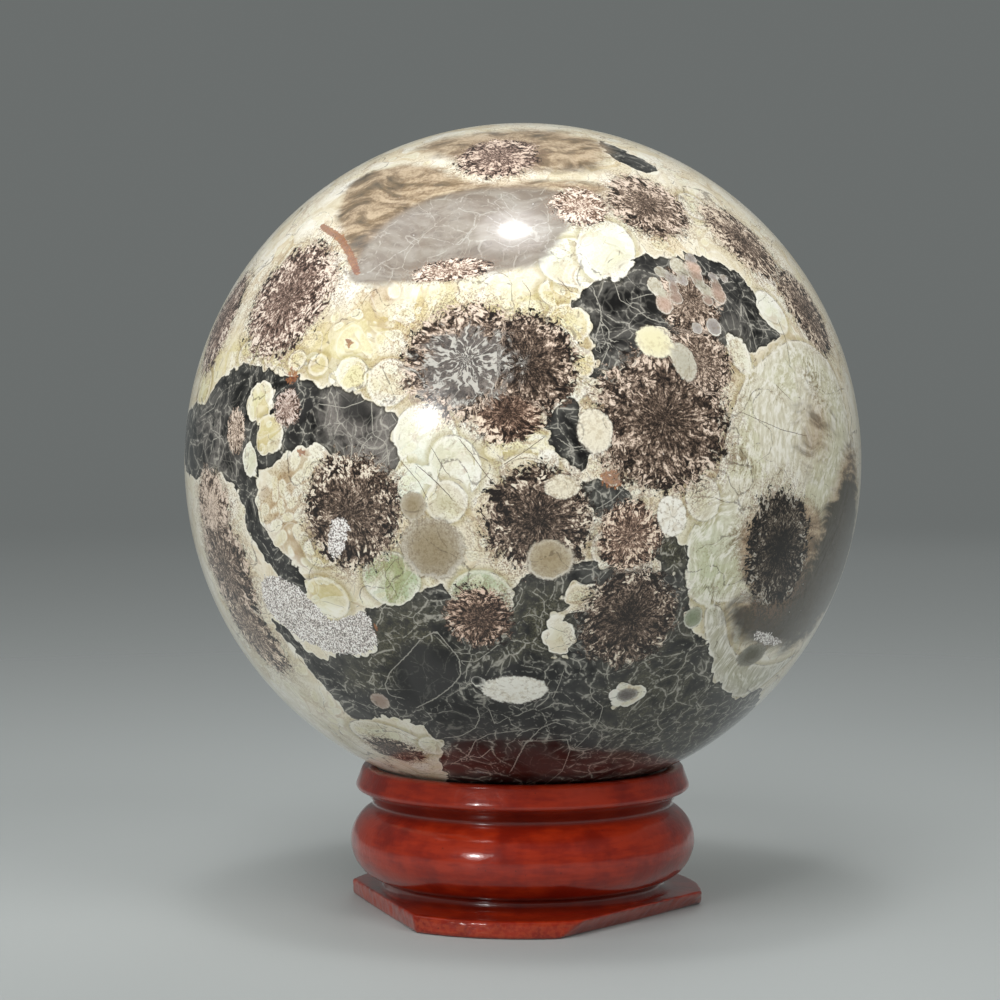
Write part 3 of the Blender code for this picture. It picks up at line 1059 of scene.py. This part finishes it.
pale = stone.read("tint")
pale = stone.blend(pale, CHALK, (large_a.rise(0.3, 0.9) * 0.5 + middling.rise(0.46, 0.66) * 0.4) * on_lobes)
pale = stone.darker(pale, (0.88, 0.80, 0.66), large_b.rise(0.5, 0.95) * on_lobes * 0.6)
# painted shade in the gaps between the large lobes
pale = stone.darker(pale, (0.84, 0.80, 0.70), large_away.rise(0.40, 0.74) * on_lobes * 0.7)
pale = stone.blend(pale, stone.blend(MINT, YELLOW_CREAM, small_b), small_in * small_here * 0.45)
small_gaps = small_away.rise(0.46, 0.62) * small_here
small_gaps = small_gaps * (middling.rise(0.42, 0.6) * 0.5 + beads_share * 0.5)
pale = stone.darker(pale, (0.62, 0.51, 0.40), small_gaps)
# painted light: a paler rim inside each lobe
pale = stone.blend(pale, CHALK, large_rim_light.most(small_rim_light * small_here) * on_lobes * 0.35)
pale = stone.darker(pale, (0.80, 0.76, 0.68), grains * middling.fall(0.40, 0.60) * 0.55)
grit = (fine * 0.55 + finest * 0.45).rise(0.50, 0.62)
pale = stone.darker(pale, (0.50, 0.39, 0.30), grit * (slow * 0.6 + middling * 0.4).rise(0.46, 0.64) * 0.6)
# painted shade, with a slight green-yellow cast, deeper inside each named lobe
pale = stone.darker(pale, (0.93, 0.95, 0.86), fold_mm.fall(-1.6, -0.2) * 0.8)

crackle = ridge(0.45, ways(crumpled, 5), 0.03, 0.0) * middling.rise(0.50, 0.60)
long_cracks = ridge(0.16, ways(crumpled, 6), 0.05) * fine.rise(0.36, 0.5)
fold_edge = fold_mm + (fine - 0.5) * 0.10 + (middling - 0.5) * 0.14
named_seams = abs(fold_edge).fall(0.02, 0.075) * fold_near.fall(0.22, 0.36) * middling.rise(0.42, 0.62)
thin_lines = (crackle * 0.55).most(long_cracks * 0.6).most(named_seams * 0.55)
thin_lines = thin_lines.most(drawn("crack", 0.035) * 0.9)
rim_light = fold_mm.rise(-0.34, -0.16) * fold_mm.fall(-0.08, -0.03)
pale = stone.blend(pale, CHALK, rim_light * 0.4)
fold_shade = fold_mm.rise(0.0, 0.06) * fold_mm.fall(0.10, 0.6) * fold_near.fall(0.4, 0.6)
pale = stone.darker(pale, (0.74, 0.70, 0.58), fold_shade)

grain_wave = stone.clouds(
    1.0, stone.pack(stone.along(bent_place, (2.6, 0.9, -1.4)), stone.along(bent_place, (0.25, 0.1, 0.42)),
                    stone.along(place, (0.3, 1.6, 0.4))), detail=2.0, rough=0.75)
pale = stone.blend(pale, CHALK, (grain_wave * 0.6 + middling * 0.4).fall(0.40, 0.52) * body_share * 0.7)
pale = stone.darker(pale, (0.70, 0.66, 0.56), grain_wave.rise(0.48, 0.66) * body_share * 0.5)
body_spots = (grain_wave * 0.45 + slow * 0.55).rise(0.60, 0.70) * body_share
pale = stone.darker(pale, (0.42, 0.36, 0.29), body_spots * 0.7)
pale = stone.blend(pale, UMBER, thin_lines)

border = ground_mm + (small_away - 0.42) * 0.8 + (middling - 0.5) * 0.5 + (fine - 0.5) * 0.14
pale_share = border.fall(-0.04, 0.05)
pale = stone.blend(pale, CHALK, border.rise(-0.26, -0.10) * pale_share * 0.4)
dark = stone.darker(dark, (0.4, 0.38, 0.34), border.fall(0.05, 0.30) * 0.8)
colour = stone.blend(dark, pale, pale_share)
print("nodes so far:", len(stone.tree.nodes))

# %% [markdown]
# ## Stains over both
#
# Quartz is a cloudy grey veil with white threads, smoke is a brown one with streaks.

# %% Lay the stains
wisps = stone.clouds(0.5, stone.vector("MULTIPLY", bent_place, (0.6, 0.6, 2.4)), detail=3.0, rough=0.62)
quartz = stone.blend(QUARTZ, PALE_QUARTZ, wisps.rise(0.36, 0.68))
quartz = stone.darker(quartz, (0.72, 0.70, 0.68), (middling * 0.7 + fine * 0.3).rise(0.50, 0.66) * 0.6)
quartz = stone.blend(quartz, CHALK, (close_veins * 0.12).most(open_veins * 0.25).most(long_cracks * 0.3))
colour = stone.blend(colour, quartz, (quartz_share + (wisps - 0.5) * 0.7).rise(0.3, 0.7) * 0.92)
smoke = stone.blend(SMOKE, WARM_CREAM, (wisps + (fine - 0.5) * 0.25).fall(0.34, 0.58) * 0.6)
smoke = stone.blend(smoke, DEEP_SMOKE, (wisps + deep_share * 0.5).rise(0.46, 0.78) * 0.95)
smoke = stone.darker(smoke, (0.72, 0.70, 0.66), grains * 0.4)
colour = stone.blend(colour, smoke, (smoke_share + (wisps - 0.5) * 0.9).rise(0.2, 0.9) * 0.92)
rust = stone.blend(RUST, ORANGE, (fine * 0.5 + finest * 0.5).rise(0.48, 0.60))
rust = stone.darker(rust, (0.45, 0.35, 0.3), finest.rise(0.5, 0.62) * 0.7)
colour = stone.blend(colour, rust, (rust_share + (fine - 0.5) * 1.2).rise(0.4, 0.6) * 0.8)

# %% [markdown]
# ## The flowers' needles
#
# To draw needles, the noise is read along a circle and along the radius. Round the circle it changes
# fast, so each needle is narrow. Along the radius it changes slowly, so each needle is long. Using the
# logarithm of the radius lets the needles widen outwards, as real ones do.

# %% Grow the needles
bloom_x, bloom_y, bloom_number = stone.parts(stone.read("bloom_at"))
bloom_far, bloom_dark, bloom_pale = stone.parts(stone.read("bloom_mark"))
shiver_x, shiver_y, _ = stone.parts(shiver)
bloom_bend_x = bloom_x + shiver_x * 0.45
bloom_bend_y = bloom_y + shiver_y * 0.45
from_centre = (bloom_bend_x * bloom_bend_x + bloom_bend_y * bloom_bend_y + 0.02) ** 0.5
way_x = bloom_bend_x / from_centre
way_y = bloom_bend_y / from_centre
out_from_centre = from_centre.maths("LOGARITHM", math.e)


outer = bloom_far.rise(0.25, 0.85)
curl = outer * 3.5 + 1.0


def in_flower(round_it, along_it, shift):
    """Coordinates that run round the flower and outwards."""
    return stone.pack(
        way_x * round_it + bloom_number * 7.3 + shiver_x * curl, way_y * round_it + shift + shiver_y * curl,
        out_from_centre * along_it)


spray = stone.clouds(1.0, in_flower(12.0, 2.4, 0.0), detail=2.0, rough=0.7)
petal = stone.cells(1.0, in_flower(7.0, 2.4, 40.0))
petal_tone, petal_reach, _ = stone.parts(petal.also("Color"))
light = (spray - 0.5) * 1.35 + (fine - 0.5) * 0.75 + (finest - 0.5) * 0.55 + (middling - 0.5) * 0.4
light = light + bloom_far * 0.28 + bloom_pale + 0.28 - bloom_dark * bloom_far.fall(0.0, 0.65) * 0.14
light = light + ((petal_tone - 0.42) * 0.7 - petal.rise(0.40, 0.70) * 0.42) * outer
needle_tone = stone.node("ShaderNodeValToRGB", {"stops": (
    (0.0, tone(32, 26, 23)), (0.16, tone(54, 44, 37)), (0.32, tone(86, 71, 60)), (0.46, tone(121, 103, 90)),
    (0.58, tone(162, 143, 126)), (0.70, tone(204, 187, 168)), (0.86, tone(234, 222, 205)))},
    {0: light}, 0)
needle_tone = stone.blend(needle_tone, stone.read("bloom_hue"), 1.0, "MULTIPLY")
needle_tone = stone.blend(needle_tone, stone.read("bloom_bed"), light.rise(0.60, 0.75) * 0.4)
bloom_edge = bloom_far + (spray - 0.5) * 0.5 + (petal_reach - 0.5) * 0.16 + (middling - 0.5) * 0.35
bloom_share = (bloom_edge + (fine - 0.5) * 0.45).fall(0.90, 1.02)
colour = stone.blend(colour, needle_tone, bloom_share)
fringe = bloom_edge.fall(1.0, 1.5) * (spray * 0.6 + finest * 0.4).rise(0.48, 0.58)
fringe = fringe * (1 - bloom_share) * pale_share
colour = stone.blend(colour, tone(136, 110, 90), fringe * 0.7)

net_line = (petal + (spray - 0.5) * 0.3).rise(0.50, 0.70)
net_tone = stone.blend(tone(74, 70, 68), tone(116, 110, 105), petal_tone * 0.6 + grains * 0.4)
net_tone = stone.blend(net_tone, CHALK, net_line * 0.55)
net_now = (net_share + (middling - 0.5) * 1.3 + (spray - 0.5) * 0.9).rise(0.42, 0.72)
colour = stone.blend(colour, net_tone, net_now * 0.9)

# %% [markdown]
# ## The crust of tiny crystals
#
# A lilac-grey crust sparkles, because each crystal catches the light by itself. The finest noise,
# made steep, looks the same.

# %% Sprinkle the crust
sparkle = finest * 0.6 + fine * 0.2 + middling * 0.2
crust = stone.blend(LILAC * 0.35, LILAC * 1.25, sparkle.rise(0.40, 0.50))
crust = stone.blend(crust, tone(248, 246, 242), sparkle.rise(0.51, 0.57))
crust_now = (crust_share + (fine - 0.5) * 1.3 + (middling - 0.5) * 0.9).rise(0.42, 0.58)
colour = stone.blend(colour, crust, crust_now * 0.95)

# %% [markdown]
# ## The orbs
#
# An orb has a rim, sometimes rays, and a thin dark line where it meets what lies round it.

# %% Draw the orbs
orb_x, orb_y, orb_number = stone.parts(stone.read("orb_at"))
orb_far, orb_rim, orb_ray = stone.parts(stone.read("orb_mark"))
orb_edge = orb_far + (middling - 0.5) * 0.34 + (fine - 0.5) * 0.22
orb_share = orb_edge.fall(0.90, 1.03)
orb_length = (orb_x * orb_x + orb_y * orb_y + 0.001) ** 0.5
lower_side = 0.6 - orb_y / orb_length * 0.4
orb_ring = orb_edge.rise(0.78, 0.90) * orb_rim * lower_side
orb_turn = orb_y.maths("ARCTAN2", orb_x) * 9 + middling * 9 + orb_number
orb_rays = orb_turn.maths("SINE").rise(0.4, 0.9) * orb_far.rise(0.1, 0.4) * orb_ray * grains
orb_colour = stone.read("orb_tint")
orb_colour = stone.blend(orb_colour, CHALK, (orb_far + (middling - 0.5)).rise(0.3, 1.0) * 0.22)
orb_clouds = (middling * 0.6 + fine * 0.4).rise(0.48, 0.62)
orb_colour = stone.darker(orb_colour, (0.74, 0.68, 0.58), orb_clouds * 0.55)
orb_colour = stone.blend(orb_colour, UMBER, thin_lines * 0.7)
orb_dots = grains * orb_speckle * (0.35 + orb_far.rise(0.5, 1.0) * 0.65)
orb_colour = stone.darker(orb_colour, (0.48, 0.40, 0.32), orb_dots)
orb_colour = stone.blend(orb_colour, SMOKE, orb_rays * 0.7)
orb_colour = stone.blend(orb_colour, CHALK, orb_ring)
seam_share = orb_edge.rise(0.90, 0.98) * orb_edge.fall(1.0, 1.12) * fine.rise(0.38, 0.58)
colour = stone.blend(colour, UMBER, seam_share * 0.5)
colour = stone.blend(colour, orb_colour, orb_share)

# %% [markdown]
# ## The polish
#
# Polished stone is smooth enough to mirror a lamp, but not quite a mirror. A clear coat gives the sharp
# reflection, and the rougher layer under it the soft glow around each one. The crystal crust doesn't
# take the polish as well.

# %% Finish the stone
stone.set("Base Color", colour)
stone.set("Roughness", crust_now * 0.2 + 0.3)
stone.set("IOR", 1.5)
stone.set("Specular IOR Level", 0.15)
stone.set("Coat Weight", 0.8)
stone.set("Coat Roughness", 0.11)
ball_mesh.materials.append(stone.material)
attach(ball, "root")
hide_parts("stone_sphere")
print("nodes in the stone:", len(stone.tree.nodes))

# %% [markdown]
# ## The ring
#
# A turner cuts the ring on a lathe: one profile, swept round. Three strips are then sawn off the foot,
# and thick lacquer rounds every edge. So the mesh is a fine lathe form, whose foot is pulled in at the
# three flats, with slow ripples of the brushed lacquer.

# %% Draw the ring's profile
SEAT_RADIUS = 12.3
RIM_TOP = (13.35, 11.9)
RIM_FOOT = (14.0, 10.05)
UNDER_RIM = (13.0, 9.55)
UPPER_GROOVE = (12.45, 8.75)
BULGE_CENTRE = (11.2, 5.6)
BULGE_ROUND = 3.2
LOWER_GROOVE = (11.5, 2.43)
FOOT_RADIUS = 15.0
FOOT_HEIGHT = 1.43
BORE_RADIUS = 9.5
FLATS = (
    # bearing from +X in degrees, distance from the axis, how far it leans in
    (-40.0, 12.75, 40.0),
    (199.5, 12.35, 8.0),
    (80.0, 12.45, 20.0),
)
ball_centre_mm = BALL_CENTRE.z / MM


def seat(radius, gap):
    """Height of the dished seat: it follows the ball with a gap."""
    return ball_centre_mm - math.sqrt((BALL_MM + gap) ** 2 - radius**2)


corners = [(BORE_RADIUS, 0.0), (BORE_RADIUS, seat(BORE_RADIUS, 0.35)), (11.0, seat(11.0, 0.3))]
corners += [(SEAT_RADIUS, seat(SEAT_RADIUS, 0.03)), RIM_TOP, RIM_FOOT, UNDER_RIM, UPPER_GROOVE]
for step in range(13):
    angle = math.radians(68 - 152 * step / 12)
    out, over = BULGE_ROUND * math.cos(angle), BULGE_ROUND * math.sin(angle)
    corners.append((BULGE_CENTRE[0] + out, BULGE_CENTRE[1] + over))
corners += [(11.52, 2.15), (11.75, 1.68), (12.5, 1.45), (FOOT_RADIUS, FOOT_HEIGHT), (FOOT_RADIUS, 0.0)]
corners = np.array(corners)
print("corners of the profile:", len(corners))

# %% Round its corners and turn it
SPACING = 0.2
AROUND = 450


def evenly(points, spacing):
    """Points at even distances along a closed line."""
    closed = np.vstack((points, points[:1]))
    steps = np.hypot(*np.diff(closed, axis=0).T)
    travelled = np.concatenate(([0.0], np.cumsum(steps)))
    count = int(travelled[-1] / spacing)
    marks = np.linspace(0.0, travelled[-1], count, endpoint=False)
    return np.stack([np.interp(marks, travelled, closed[:, axis]) for axis in (0, 1)], 1)


profile = evenly(corners, SPACING)
for _ in range(2):
    profile = (np.roll(profile, 1, axis=0) + profile * 2 + np.roll(profile, -1, axis=0)) / 4
profile[:, 1] = np.maximum(profile[:, 1], 0.0)
turns = np.linspace(0.0, 2 * math.pi, AROUND, endpoint=False)

shape = bmesh.new()
rows = []
for radius, height in profile:
    row = []
    for turn in turns:
        wide = radius
        if height < 2.3 and radius > LOWER_GROOVE[0]:
            limit = FOOT_RADIUS
            for bearing, distance, lean in FLATS:
                cosine = math.cos(turn - math.radians(bearing))
                if cosine > 0.5:
                    saw = distance + (height - FOOT_HEIGHT) * math.tan(math.radians(lean))
                    limit = min(limit, saw / cosine)
            share = (limit - LOWER_GROOVE[0]) / (FOOT_RADIUS - LOWER_GROOVE[0])
            wide = LOWER_GROOVE[0] + (radius - LOWER_GROOVE[0]) * share
        spot = Vector((wide * math.cos(turn), wide * math.sin(turn), height))
        ripple = noise.noise(spot * 0.45) * 0.035 + noise.noise(spot * 1.3 + Vector((9, 9, 9))) * 0.012
        if height < 1.7 and radius > 14.2:
            ripple += noise.noise(spot * 1.6 + Vector((3, 5, 7))) * 0.07
        touches_ball = radius < RIM_TOP[0] - 0.2 and height > 8.0
        if touches_ball or height < 0.05:
            ripple = 0.0
        spot.x += ripple * math.cos(turn)
        spot.y += ripple * math.sin(turn)
        row.append(shape.verts.new(spot * MM))
    rows.append(row)
for row, after in zip(rows, rows[1:] + rows[:1]):
    for index in range(AROUND):
        beyond = (index + 1) % AROUND
        shape.faces.new((row[index], row[beyond], after[beyond], after[index]))
bmesh.ops.recalc_face_normals(shape, faces=shape.faces[:])
ring_mesh = bpy.data.meshes.new("lacquered_ring")
shape.to_mesh(ring_mesh)
shape.free()
ring_mesh.shade_smooth()
ring = bpy.data.objects.new("lacquered_ring", ring_mesh)
bpy.context.scene.collection.objects.link(ring)
print("triangles of the ring:", 2 * len(ring_mesh.polygons))

# %% [markdown]
# ## Lacquer
#
# The lacquer is a see-through red-brown film over wood. In the grooves, shade is painted into it as a
# darker film, and on the foot's low edge, light as a more orange band. Dust grains make tiny bumps.

# %% Mix the lacquer
lacquer = Recipe("red_brown_lacquer")
spot = lacquer.stretch(lacquer.node("ShaderNodeTexCoord", {}, {}, "Object"), 1 / MM)
_, _, spot_height = lacquer.parts(spot)
cloudy = lacquer.clouds(0.35, spot, detail=3.0)
streaks = lacquer.clouds(1.0, lacquer.vector("MULTIPLY", spot, (0.5, 0.5, 3.0)), detail=3.0)
dust = lacquer.clouds(3.2, spot, detail=2.0)
film = lacquer.blend(tone(116, 22, 7), tone(142, 37, 11), (cloudy * 0.6 + streaks * 0.4).rise(0.38, 0.62))
film = lacquer.blend(film, tone(84, 16, 6), cloudy.fall(0.3, 0.48) * 0.3)
# painted shade: a darker film under the rim and in the groove above the foot
groove_shade = spot_height.rise(8.2, 8.7) * spot_height.fall(9.3, 9.9)
groove_shade = groove_shade.most(spot_height.rise(1.3, 1.7) * spot_height.fall(2.5, 3.1))
film = lacquer.blend(film, tone(58, 12, 7), groove_shade * 0.6)
# painted light: the foot's low band is a lighter orange where light catches its edge, broken up by dust
# noise
thin = spot_height.fall(1.1, 1.5) * dust.rise(0.4, 0.6)
film = lacquer.blend(film, tone(150, 58, 26), thin * 0.5)
specks = lacquer.cells(0.9, spot).fall(0.03, 0.07)
film = lacquer.blend(film, tone(34, 10, 7), specks * 0.7)
lacquer.set("Base Color", film)
lacquer.set("Roughness", 0.32)
lacquer.set("Specular IOR Level", 0.2)
lacquer.set("Coat Weight", 0.85)
lacquer.set("Coat Roughness", 0.05)
bumps = lacquer.node(
    "ShaderNodeBump", {}, {"Strength": 0.5, "Distance": 0.00008, "Height": dust * 0.5 + cloudy}, 0)
lacquer.set("Normal", bumps)
ring_mesh.materials.append(lacquer.material)
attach(ring, "root")
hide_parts("ring_stand")
print("nodes in the lacquer:", len(lacquer.tree.nodes))

# %% [markdown]
# ## The studio
#
# A pale floor lies under the ring. Further out it fades into the grey of the surroundings, so that no
# horizon shows behind the ball.

# %% Lay the floor
FLOOR_REACH = 0.9
floor_mesh = bpy.data.meshes.new("floor")
shape = bmesh.new()
bmesh.ops.create_circle(shape, cap_ends=True, radius=FLOOR_REACH, segments=96)
shape.to_mesh(floor_mesh)
shape.free()
floor = bpy.data.objects.new("floor", floor_mesh)
bpy.context.scene.collection.objects.link(floor)
paper = Recipe("pale_paper")
floor_spot = paper.node("ShaderNodeTexCoord", {}, {}, "Object")
floor_far = paper.node("ShaderNodeVectorMath", {"operation": "LENGTH"}, {0: floor_spot}, "Value")
paper.set("Base Color", tone(166, 170, 169))
paper.set("Roughness", 0.6)
paper.set("Alpha", 1 / (1 + (floor_far / 0.18) ** 1.5) * floor_far.fall(0.5, 0.85))
floor_mesh.materials.append(paper.material)

# %% [markdown]
# ## The lamps
#
# A large soft panel overhead gives the veil of light on the upper half of the ball, with a sharp back
# edge and a front that fades in three strips. Small round lamps make the bright spots. A soft key lamp
# from the upper left shapes the ball; it is hidden from reflections, where it would blot out the stone.


# %% Hang the lamps
def lamp(name, place, aim, width, height, radiance, shape="RECTANGLE"):
    """A flat soft lamp that looks at a point. Sizes in metres, and how bright its face is."""
    data = bpy.data.lights.new(name, "AREA")
    data.shape = shape
    data.size = width
    data.size_y = height
    area = math.pi * width**2 / 4 if shape == "DISK" else width * height
    data.energy = radiance * math.pi * area
    made = bpy.data.objects.new(name, data)
    made.location = place
    made.rotation_euler = (Vector(aim) - Vector(place)).to_track_quat("-Z", "Y").to_euler()
    bpy.context.scene.collection.objects.link(made)
    return made


PANEL_TURN = math.radians(-17.4)
PANEL_TOP = 0.60
panel_front = Vector((math.sin(PANEL_TURN), -math.cos(PANEL_TURN), 0.0))
panel_back = Vector((-0.11, 0.076, PANEL_TOP))
reached = 0.0
for number, (depth, radiance) in enumerate(((0.20, 1.5), (0.08, 1.1), (0.08, 0.6))):
    middle = panel_back + panel_front * (reached + depth / 2)
    strip = lamp(f"overhead_strip_{number}", middle, middle - Vector((0, 0, 1)), 0.74, depth, radiance)
    strip.rotation_euler = (0.0, 0.0, PANEL_TURN)
    reached += depth
lamp("overhead_core", (-0.021, -0.084, 0.56), (0, 0, 0.04), 0.07, 0.07, 22.0, "DISK")
lamp("overhead_glow", (-0.022, -0.086, 0.565), (0, 0, 0.04), 0.17, 0.17, 5.0, "DISK")
lamp("front_left_core", (-0.36, -0.60, 0.22), (0, 0, 0.04), 0.06, 0.06, 34.0, "DISK")
lamp("front_left_glow", (-0.363, -0.605, 0.222), (0, 0, 0.04), 0.13, 0.13, 8.0, "DISK")
lamp("front_left_halo", (-0.366, -0.610, 0.224), (0, 0, 0.04), 0.24, 0.24, 2.5, "DISK")
for name, where, side, radiance in (
    ("key", (-0.14, -0.46, 0.52), 0.30, 8.6),
    ("right_fill", (0.42, -0.45, 0.42), 0.35, 5.2),
    ("left_fill", (-0.60, -0.17, 0.20), 0.35, 2.8),
    ("back_fill", (0.18, 0.56, 0.40), 0.35, 3.0),
):
    lamp(name, where, (0, 0, 0.04), side, side, radiance).visible_glossy = False

world = bpy.data.worlds.new("studio")
world.use_nodes = True
world.node_tree.nodes["Background"].inputs["Color"].default_value = (0.146, 0.157, 0.154, 1.0)
world.node_tree.nodes["Background"].inputs["Strength"].default_value = 1.0
bpy.context.scene.world = world
bpy.context.scene.view_settings.view_transform = "Standard"
